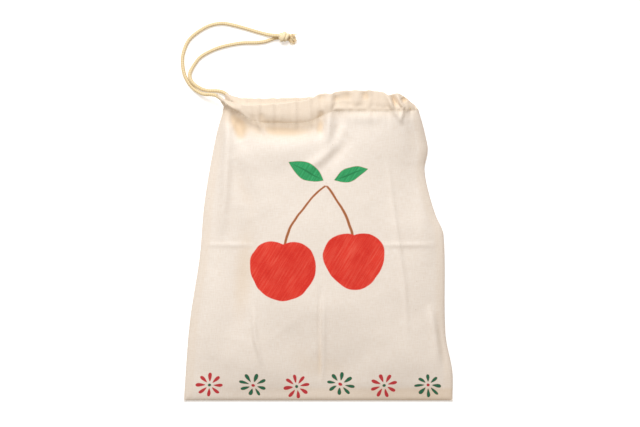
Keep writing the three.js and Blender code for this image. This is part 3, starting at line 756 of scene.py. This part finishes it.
# A petal is a drop, narrow towards the middle of the flower
outward = shade(tree, "Math", (turn,), "COSINE")
outward = shade(tree, "Math", (reach, outward, -PETAL_MIDDLE), "MULTIPLY_ADD")
share = shade(tree, "Math", (outward, PETAL_HALF_LENGTH), "DIVIDE")
round_end = shade(tree, "Math", (share, share), "MULTIPLY")
round_end = shade(tree, "Math", (1, round_end), "SUBTRACT")
round_end = shade(tree, "Math", (round_end,), "SQRT")
drop = (share, 0.38 * PETAL_HALF_WIDTH, 0.78 * PETAL_HALF_WIDTH)
width = shade(tree, "Math", drop, "MULTIPLY_ADD")
width = shade(tree, "Math", (round_end, width), "MULTIPLY")
off_axis = shade(tree, "Math", (turn,), "SINE")
off_axis = shade(tree, "Math", (reach, off_axis), "MULTIPLY")
off_axis = shade(tree, "Math", (off_axis, width), "SUBTRACT")
petal = shade(tree, "Math", (off_axis, beside(outward, PETAL_HALF_LENGTH)), "MAXIMUM")
heart = shade(tree, "Math", (reach, FLOWER_HEART), "SUBTRACT")
in_row = shade(tree, "Math", (number, (FLOWERS - 1) / 2, FLOWERS / 2), "COMPARE")
odd = shade(tree, "Math", (number, 1), "PINGPONG")
for outline, *colours in ((petal, FLOWER_RED, FLOWER_GREEN), (heart, FLOWER_GREEN, FLOWER_RED)):
    cover = shade(tree, "Math", (inside_of(outline, FLOWER_EDGE), in_row), "MULTIPLY")
    colour = shade(tree, "Mix", {0: odd, 6: colours[0], 7: colours[1]}, out=2, data_type="RGBA")
    motifs.append((cover, colour))

ink, cover = CHERRY_RED, 0
for motif_cover, motif_colour in motifs:
    ink = shade(tree, "Mix", {0: motif_cover, 6: ink, 7: motif_colour}, out=2, data_type="RGBA")
    cover = shade(tree, "Math", (cover, motif_cover), "MAXIMUM")
# Thick yarns take the ink a little less well
soak = shade(tree, "TexNoise", {"Vector": in_mm, "Scale": 0.9, "Detail": 2})
soak = shade(tree, "MapRange", {
    "Value": soak, "From Min": 0.3, "From Max": 0.7, "To Min": 1, "To Max": 0.97,
})
cover = shade(tree, "Math", (cover, soak), "MULTIPLY")
calico(tree, cloth, (cover, ink))

# Shares across and along, closer together at the sides, and two more that tuck into the seam
even = np.linspace(0, 1, HALF_COLUMNS + 1)
outward = 0.6 * even + 0.4 * np.sin(math.pi / 2 * even)
outward = np.concatenate([outward, [1, 1]])
c = np.concatenate([-outward[:0:-1], outward])[None, :]
w = np.concatenate([[0, 0], np.linspace(0, 1, PANEL_ROWS + 1)])[:, None]
tuck_x = np.concatenate([[-2, -1], np.zeros(2 * HALF_COLUMNS + 1, int), [1, 2]])[None, :]
tuck_y = np.concatenate([[2, 1], np.zeros(PANEL_ROWS + 1, int)])[:, None]


def tucked(place, down, rows=0):
    """The grid's outermost points turn in between the two layers."""
    columns = np.abs(tuck_x)
    place[..., 0] -= np.sign(tuck_x) * TUCK_IN[columns]
    place[..., 1] += TUCK_IN[rows]
    place[..., 2] -= down * TUCK_DOWN[np.maximum(columns, rows)]


def hem_lines(stitches, lip, lip_shift):
    """x and y of the stitch line and of the lip for each column."""
    across = c[0]
    stitch_y = through(stitches, across)
    stitch_x = across * side_reach(stitch_y, across)
    left, right = ease((-across - 0.78) / 0.22), ease((across - 0.75) / 0.25)
    lip_x = stitch_x + lip_shift[0] * left + lip_shift[1] * right
    lip_y = through(lip, across) + LIP_WAVE * gathers(lip_x) * (1 - np.abs(across) ** 4)
    return np.stack([stitch_x, stitch_y], axis=1), np.stack([lip_x, lip_y], axis=1)


def panel_xy(stitch):
    """Places between the bottom seam and the stitch line."""
    y = BOTTOM + (stitch[:, 1] - BOTTOM) * w
    return c * side_reach(y, c), y


def hem_way(stitch, lip):
    """The way from the stitch line to the lip, 1 long, for each column."""
    return (lip - stitch) / np.linalg.norm(lip - stitch, axis=1)[:, None]


def hem_xy(stitch, lip, share):
    """Places on the hem, from the stitch line to just short of the lip."""
    edge = lip - hem_way(stitch, lip) * LIP_ROUND
    flat = stitch + (edge - stitch) * share[:, None, None]
    return flat[..., 0], flat[..., 1]


def over_cord(x, y, base, cord, lift, spread=COVER_SPREAD):
    """Cloth that lies over the cord, or under it where lift is negative."""
    cord_y = np.interp(x, cord[:, 0], cord[:, 1])
    cord_z = np.interp(x, cord[:, 0], cord[:, 2])
    rise = np.sign(lift) * np.maximum(np.sign(lift) * (cord_z + lift - base), 0)
    return base + rise * np.exp(-(((y - cord_y) / spread) ** 2))


def seam_bands_and_painted_shade(x, from_side, from_bottom):
    """How much a seam allowance shows through. Along the bottom this is also painted shade, which grows
    darker towards the right.
    """
    along_bottom = (0.2 + 1.5 * x) * (1 - ease((from_bottom - ALLOWANCE - 0.002) / 0.005))
    along_side = BEHIND_SIDE * (1 - ease((from_side - ALLOWANCE + 0.002) / 0.005))
    return np.maximum(along_bottom, along_side)


def softness(x, y, from_edge):
    """Folds and rumples, which die away at the seams."""
    rumples = sum(height * rumple(x, y, size, seed) for height, size, seed in RUMPLES)
    return (fold_height(x, y) + rumples) * ease(from_edge / SOFT_EDGE)


def stitch_dip(from_stitches):
    """The stitches pull the cloth down in a soft groove, with a sharp one along the thread."""
    return sum(depth * np.exp(-((from_stitches / width) ** 2)) for depth, width in STITCH_DIPS)


def whole_layer(panel, hem, flap, stitch, lip):
    """A layer's grid from the bottom seam over the lip to the raw edge, and the same laid flat."""
    turn = (np.arange(1, FOLD_ROWS) / FOLD_ROWS * math.pi)[:, None, None]
    turned = (hem[-1] + flap[0]) / 2 + (hem[-1] - flap[0]) / 2 * np.cos(turn)
    turned[..., :2] += hem_way(stitch, lip) * np.sin(turn) * LIP_ROUND
    turned_share = np.linspace(1, 1 + TURN_SHARE, FOLD_ROWS + 1)[1:-1]
    share = np.concatenate([hem_share, turned_share, 2 + TURN_SHARE - flap_share])
    flat_y = stitch[:, 1] + share[:, None] * np.linalg.norm(lip - stitch, axis=1)
    flat_hem = np.stack([np.broadcast_to(stitch[:, 0], flat_y.shape), flat_y], axis=-1)
    flat = np.concatenate([np.stack(panel_xy(stitch), axis=-1), flat_hem])
    return np.concatenate([panel, hem, turned, flap]), flat


hem_share = np.arange(1, HEM_ROWS + 1) / HEM_ROWS
flap_share = np.linspace(1, FLAP_END, HEM_ROWS)
from_end = ease((1 - np.abs(c)) / 0.1)
front_stitch, front_lip = hem_lines(FRONT_STITCHES, FRONT_LIP, FRONT_LIP_SHIFT)
front_cord = whole_cord[outer_end - ROUTE_STEPS:]
front_cord = front_cord[:np.argmax(front_cord[:, 0])]

x, y = panel_xy(front_stitch)
from_side = (1 - np.abs(c)) * side_reach(y, c)
seam = seam_height(y, c)
roll = (1 - np.exp(-from_side / EDGE_ROLL)) * (1 - np.exp(-(y - BOTTOM) / EDGE_ROLL))
crown = np.where(c < 0, through(BELLY_POWER, w), through(RIGHT_BELLY_POWER, w))
belly = (BELLY_RISE - (seam - SEAM_HEIGHT)) * through(BELLY, w) * (1 - np.abs(c) ** crown)
base = seam + EDGE_ROLL * roll + belly
to_stitches = front_stitch[:, 1] - y
soft = softness(x, y, np.minimum(from_side, y - BOTTOM))
pucker = PUCKER * gathers(x) * np.exp(-to_stitches / PUCKER_REACH) * from_end
z = base + soft + pucker - stitch_dip(to_stitches)
z = over_cord(x, y, z, front_cord, CORD_COVER, FRONT_COVER_SPREAD)
panel = np.stack([x, y, z], axis=-1)
tucked(panel, 1, tuck_y)
# Painted shade: the hollows of the folds are tinted darker and warmer, as if in shade
hollow = HOLLOW_PAINTED_SHADE * ease((-fold_height(x, y) - 0.0013) / 0.0048)
# The hem's raw edge ends a little below the stitches and shows through there. Left of the step the band
# is wider and darker, and that part is painted shade of the hollow under the hem.
left_of_step = ease((0.008 - x) / 0.012)
below_hem = 1 - ease(to_stitches / (0.01 + 0.012 * left_of_step))
below_hem *= 0.2 + 0.25 * left_of_step
panel_layers_and_painted_shade = np.maximum(seam_bands_and_painted_shade(x, from_side, y - BOTTOM), np.maximum(hollow, below_hem))

sewn_height = base[-1]
lip_height = LIP_HEIGHT - LEFT_LIP_DROP * ease((-c - 0.75) / 0.25)
lip_height -= RIGHT_LIP_DROP * np.maximum(c, 0) ** 16


def front_hem_height(x, y, share):
    """The front hem rises from its stitches to the lip, puckered along the cord."""
    rise = (lip_height - sewn_height) * ease(share / HEM_SHOULDER)[:, None]
    ripple = softness(x, y, from_end * SOFT_EDGE) + PUCKER * gathers(x) * from_end
    return sewn_height + rise + ripple - stitch_dip(share[:, None] * HEM_DEPTH)


x, y = hem_xy(front_stitch, front_lip, hem_share)
z = front_hem_height(x, y, hem_share)
z = over_cord(x, y, z, front_cord, CORD_COVER, FRONT_COVER_SPREAD)
hem = np.stack([x, y, z], axis=-1)
tucked(hem, 1)

x, y = hem_xy(front_stitch, front_lip, flap_share)
z = front_hem_height(x, y, flap_share) - HEM_GAP
closing = ease(flap_share / 0.12)[:, None]
z += (over_cord(x, y, z, front_cord, -CORD_COVER) - z) * closing
inward = 1 - 0.09 * ease((c - 0.8) / 0.2)
flap = np.stack([x * inward, y, z], axis=-1)
tucked(flap, -1)

front_grid, front_flat = whole_layer(panel, hem, flap, front_stitch, front_lip)
hem_layers_and_painted_shade = np.full((len(front_grid) - len(panel), c.size), BEHIND_HEM)
# Painted shade: the hem is tinted darker in the hollows of its folds
hem_layers_and_painted_shade[:HEM_ROWS] += 0.4 * ease(-fold_height(hem[..., 0], hem[..., 1]) / 0.004)
front_layers_and_painted_shade = np.concatenate([panel_layers_and_painted_shade, hem_layers_and_painted_shade])
front_left, front_right = cloth_halves(
    "front_cloth", front_grid, front_flat, front_layers_and_painted_shade, False, printed_calico
)
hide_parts("front_panel", "front_casing", "left_casing_end_front")
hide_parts("front_panel", "front_casing", "right_casing_end")


# Back cloth
# The same cotton, flat on the table. Its hem holds the cord's way back and is seen inside the
# mouth, a little above the front lip.
BACK_LIFT = 0.0003  # of the back above the table
BACK_RUMPLE = [0.00025, 0.03, 12.4]  # height, size and seed
BACK_LIP_SHIFT = (0.0028, -0.0042)
BACK_FLAP = 0.0015  # height of the turned part of the hem at the stitches
BACK_FLAP_RISE = 0.0012
BACK_PUCKER = 0.0002
BACK_FLAP_PUCKER = 0.0005
BACK_STITCHES = [
    [-1, 0.1295], [-0.9, 0.1287], [-0.8, 0.1275], [-0.62, 0.126], [-0.32, 0.125], [-0.016, 0.126],
    [0.19, 0.1275], [0.49, 0.1285], [0.73, 0.1284], [0.85, 0.1297], [1, 0.132],
]
BACK_LIP = [
    [-1, 0.1485], [-0.9, 0.1458], [-0.8, 0.1442], [-0.6, 0.1437], [-0.32, 0.1442], [0, 0.1452],
    [0.19, 0.1466], [0.49, 0.1475], [0.73, 0.1466], [0.85, 0.1442], [0.93, 0.1405], [1, 0.1376],
]
back_stitch, back_lip = hem_lines(BACK_STITCHES, BACK_LIP, BACK_LIP_SHIFT)
back_cord = whole_cord[np.argmax(whole_cord[:, 0]):inner_start + ROUTE_STEPS][::-1]

x, y = panel_xy(back_stitch)
from_side = (1 - np.abs(c)) * side_reach(y, c)
curl = (seam_height(y, c) - SEAM_HEIGHT) * np.abs(c) ** 14
height, size, seed = BACK_RUMPLE
lift = height * (1 + rumple(x, y, size, seed))
lift *= ease(np.minimum(from_side, y - BOTTOM) / SOFT_EDGE)
panel = np.stack([x, y, BACK_LIFT + curl + lift], axis=-1)
tucked(panel, -1, tuck_y)
panel_layers_and_painted_shade = seam_bands_and_painted_shade(x, from_side, y - BOTTOM)


def hem_curl(share):
    """The ends of the back hem curl up to the front. At the slit they come down to the table."""
    at_slit = np.where(c < 0, (1 - ease(share / 0.2))[:, None], 1)
    return curl[-1] * at_slit


x, y = hem_xy(back_stitch, back_lip, hem_share)
z = BACK_LIFT + hem_curl(hem_share) + BACK_PUCKER * (1 + gathers(x)) * from_end
hem = np.stack([x, y, z], axis=-1)
tucked(hem, -1)

x, y = hem_xy(back_stitch, back_lip, flap_share)
z = BACK_FLAP + BACK_FLAP_RISE * ease(flap_share / 0.6)[:, None] + hem_curl(flap_share)
z += BACK_FLAP_PUCKER * (1 + gathers(x + 0.013)) * from_end * ease(flap_share / 0.2)[:, None]
z = over_cord(x, y, z, back_cord, CORD_COVER)
# When the cord is pulled it runs straight where it bends now, and needs room there
z = over_cord(x, y, z, back_cord * [1, 0, 1] + [0, CORD_LINE, 0], CORD_COVER)
flap = np.stack([x * inward, y, z], axis=-1)
tucked(flap, 1)

back_grid, back_flat = whole_layer(panel, hem, flap, back_stitch, back_lip)
back_layers_and_painted_shade = np.concatenate([panel_layers_and_painted_shade, hem_layers_and_painted_shade])
back_left, back_right = cloth_halves(
    "back_cloth", back_grid, back_flat, back_layers_and_painted_shade, True, plain_calico
)
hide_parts("back_panel", "back_casing", "left_casing_end_back")
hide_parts("back_panel", "back_casing", "right_casing_end")


# Hem stitching
# One row of lockstitch through both layers of each hem, in matt spun thread of the cloth's colour.
# Every stitch is a short raised bar that dips into the cloth at both ends.
STITCH_LENGTH = 0.0027
STITCH_GAP = 0.0005
STITCH_RISE = 0.00038
STITCH_SINK = 0.00022  # how deep the ends of a stitch lie in the cloth
LINE_STEP = 0.0002  # between the points of the line that the stitches follow
THREAD_RADIUS = 0.0002

spun_thread, tree = new_material("spun_cotton_thread")
place = shade(tree, "TexCoord", out="Object")
plies = shade(tree, "TexNoise", {"Vector": place, "Scale": 2600, "Detail": 2})
thread_colour = shade(tree, "Mix", {0: plies, 6: "#E2D2B8", 7: "#FBF4E8"}, out=2, data_type="RGBA")
ply_bump = shade(tree, "Bump", {"Height": plies, "Strength": 0.25, "Distance": 0.0002})
surface = shade(tree, "BsdfPrincipled", {
    "Base Color": thread_colour, "Roughness": 0.75, "IOR": 1.5, "Specular IOR Level": 0.35,
    "Sheen Weight": 0.1, "Normal": ply_bump,
})
shade(tree, "OutputMaterial", {"Surface": surface})


def lockstitches(line, up):
    """Stitches along a line on the cloth. up is the way out of the cloth, 1 or -1."""
    line = spaced(line, LINE_STEP)
    every = round((STITCH_LENGTH + STITCH_GAP) / LINE_STEP)
    long = round(STITCH_LENGTH / LINE_STEP)
    bars = []
    for start in range(0, len(line) - long, every):
        bar = spaced(line[start:start + long + 1], STITCH_LENGTH / 6)
        arch = np.sin(np.linspace(0, math.pi, len(bar))) ** 0.5
        bar[:, 2] += up * (arch * STITCH_RISE - STITCH_SINK)
        bars.append(tube(bar, THREAD_RADIUS, 6))
    return joined(bars)


def sewn_row(name, line, up, node):
    """A row of stitches in two halves, one for each half of the hem."""
    for side, sign, end in (("left", -1, LEFT_BLEND_END), ("right", 1, RIGHT_BLEND_END)):
        half = line[sign * line[:, 0] >= 0]
        row = make_piece(f"{name}_{side}", *lockstitches(half, up), spun_thread)
        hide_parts(node)
        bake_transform(row)


panel_rows = len(w)
sewn = np.abs(c[0]) < 0.9
sewn_row("front_hem_stitches", front_grid[panel_rows - 1][sewn], 1, "front_hem_stitching")
sewn_row("back_hem_stitches", back_grid[-3][sewn], 1, "back_hem_stitching")


# Bartacks
# A short bar of close zigzag thread, sewn across the end of each hem beside the slit. It keeps the
# slit from tearing when the cord is pulled.
BARTACK_HALF = 0.0025  # half its length
BARTACK_WIDTH = 0.0016
BARTACK_TURNS = 11
BARTACK_LIFT = 0.00025
FRONT_BARTACK = (-0.95, 0.5)  # shares of the way across the mouth and up the hem
BACK_BARTACK = (-0.93, 0.7)


def bartack(name, grid, rows, place, node):
    """Thread that runs to and fro across a bar, at a place on those rows of a layer's grid."""
    column = int(np.argmin(np.abs(c[0] - place[0])))
    row = rows[0] + int(place[1] * (rows[1] - rows[0]))
    middle = grid[row, column] + [0, 0, BARTACK_LIFT]
    along = grid[row + 1, column] - grid[row - 1, column]
    along *= BARTACK_HALF / np.linalg.norm(along)
    across = grid[row, column + 1] - grid[row, column - 1]
    across *= BARTACK_WIDTH / 2 / np.linalg.norm(across)
    places = []
    for k in range(2 * BARTACK_TURNS + 1):
        side = 1 if k % 2 else -1
        places.append(middle + along * (k / BARTACK_TURNS - 1) + across * side)
    thread = tube(spaced(smooth_route(places, 4), 0.0003), THREAD_RADIUS, 6)
    piece = make_piece(name, *thread, spun_thread)
    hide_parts(node)
    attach(piece, "left_mouth_end")


front_rows = (panel_rows, panel_rows + HEM_ROWS)
back_rows = (len(back_grid) - 1, len(back_grid) - HEM_ROWS)
bartack("bartack_front", front_grid, front_rows, FRONT_BARTACK, "exit_bartack_front")
bartack("bartack_back", back_grid, back_rows, BACK_BARTACK, "exit_bartack_back")


# Seam allowances
# Inside the bag the two layers are sewn together 8 mm from their cut edges, and an overlock
# stitch holds the edges. They lie flat between the layers.
ALLOWANCE_THICKNESS = 0.0005
OVERLOCK_DEPTH = 0.0035
OVERLOCK_STEP = 0.0024
OVERLOCK_REACH = 0.0003  # of the thread past the cut edge
SEAM_INSET = 0.0016  # of the allowances, from the edge of the bag
ALLOWANCE_SINK = 0.0004  # below the height of the seam
# From and to along the bag, and the number of points
SIDE_ENDS, SIDE_ROWS = (BOTTOM + 0.0095, 0.1285), 70
BOTTOM_ENDS, BOTTOM_ROWS = (-0.119, 0.1215), 60


def allowance(name, outer, inner, node):
    """A flat strip between two lines, with overlock thread over its inner edge."""
    drop = np.array([0, 0, ALLOWANCE_THICKNESS])
    middle = (outer + inner) / 2
    lines = [outer, middle, inner, inner - drop, middle - drop, outer - drop]
    points = np.stack(lines, axis=1).reshape(-1, 3)
    sides = len(lines)
    faces = []
    for k in range(0, len(points) - sides, sides):
        for j in range(sides):
            after = (j + 1) % sides
            faces.append([k + j, k + after, k + sides + after, k + sides + j])
    faces += [list(range(sides - 1, -1, -1)), list(range(len(points) - sides, len(points)))]
    inward = (inner - outer) / np.linalg.norm(inner - outer, axis=1)[:, None]
    edge = spaced(inner, OVERLOCK_STEP / 2)
    run, edge_run = inner[:, 0] + inner[:, 1], edge[:, 0] + edge[:, 1]
    edge_inward = np.stack([np.interp(edge_run, run, inward[:, j]) for j in range(3)], axis=1)
    loops = []
    for k, way in enumerate(edge_inward):
        depth = -OVERLOCK_DEPTH if k % 2 else OVERLOCK_REACH
        loops.append(edge[k] + way * depth + [0, 0, THREAD_RADIUS])
    thread = tube(spaced(smooth_route(loops, 3), 0.0006), THREAD_RADIUS * 0.8, 5)
    strip = make_piece(name, points, faces, plain_calico)
    overlock = make_piece(name + "_overlock", *thread, spun_thread)
    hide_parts(node)
    return strip, overlock


seam_y = np.linspace(*SIDE_ENDS, SIDE_ROWS)
for side, sign, end in (("left", -1, LEFT_BLEND_END), ("right", 1, RIGHT_BLEND_END)):
    reach = side_reach(seam_y, sign)
    height = seam_height(seam_y, sign) - ALLOWANCE_SINK
    outer = np.stack([sign * (reach - SEAM_INSET), seam_y, height], axis=1)
    inner = np.stack([sign * (reach - ALLOWANCE), seam_y, height], axis=1)
    for piece in allowance(f"{side}_seam_allowance", outer, inner, f"{side}_side_seam"):
        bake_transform(piece)
outer = np.linspace((BOTTOM_ENDS[0], 0, 0), (BOTTOM_ENDS[1], 0, 0), BOTTOM_ROWS)
outer += [0, BOTTOM + SEAM_INSET, SEAM_HEIGHT - ALLOWANCE_SINK]
inner = outer + [0, ALLOWANCE - SEAM_INSET, 0]
for piece in allowance("bottom_seam_allowance", outer, inner, "bottom_seam"):
    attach(piece, "bag")


# Table and light
# A white matt table, and soft light from a large window beyond the mouth with a warm white room
# round it. The table is seen as plain white, with only the bag's shadow on it.
TABLE_HALF = 2.5
TABLE_GAP = 0.0001  # so that the cloth and the table don't share a face
TABLE_GLOW = 0.42  # added where the camera sees the table, so that it is plain white
WINDOW_PLACE = (-0.22, 0.88, 1.14)
WINDOW_SIZE = 0.75
WINDOW_POWER = 18.5
WINDOW_COLOUR = (0.96, 1, 1.04)
ROOM_GLOW = 0.39  # strength of the light that the room throws back

white_table, tree = new_material("white_matt_laminate")
grain = shade(tree, "TexNoise", {"Scale": 900, "Detail": 1})
rough = shade(tree, "MapRange", {"Value": grain, "To Min": 0.75, "To Max": 0.85})
surface = shade(tree, "BsdfPrincipled", {
    "Base Color": "#F2F0EE", "Roughness": rough, "IOR": 1.45, "Specular IOR Level": 0.1,
})
rays = shade(tree, "LightPath").node.outputs
seen = shade(tree, "Math", (rays["Is Camera Ray"], rays["Is Glossy Ray"]), "MAXIMUM")
seen = shade(tree, "Math", (seen, rays["Is Transmission Ray"]), "MAXIMUM")
strength = shade(tree, "Math", (seen, TABLE_GLOW), "MULTIPLY")
white = shade(tree, "Emission", {"Color": (1, 1, 1, 1), "Strength": strength})
surface = shade(tree, "AddShader", (surface, white))
shade(tree, "OutputMaterial", {"Surface": surface})
corners = np.array([[-1, -1, 0], [1, -1, 0], [1, 1, 0], [-1, 1, 0]]) * TABLE_HALF
table_top = make_piece("table_top", corners - [0, 0, TABLE_GAP], [[0, 1, 2, 3]], white_table)

window_data = bpy.data.lights.new("window_light", "AREA")
window_data.shape = "SQUARE"
window_data.size = WINDOW_SIZE
window_data.energy = WINDOW_POWER
window_data.color = WINDOW_COLOUR
window_light = bpy.data.objects.new("window_light", window_data)
window_light.location = WINDOW_PLACE
window_light.rotation_mode = "QUATERNION"
window_light.rotation_quaternion = Vector(WINDOW_PLACE).to_track_quat("Z", "Y")
bpy.context.scene.collection.objects.link(window_light)

room = bpy.data.worlds.new("warm_white_room")
room.use_nodes = True
tree = room.node_tree
tree.nodes.clear()
seen = shade(tree, "LightPath", out="Is Camera Ray")
colour = shade(tree, "Mix", {0: seen, 6: "#FFEEDC", 7: (1, 1, 1, 1)}, out=2, data_type="RGBA")
strength = shade(tree, "MapRange", {"Value": seen, "To Min": ROOM_GLOW})
background = shade(tree, "Background", {"Color": colour, "Strength": strength})
shade(tree, "OutputWorld", {"Surface": background})
bpy.context.scene.world = room
bpy.context.scene.view_settings.view_transform = "Standard"
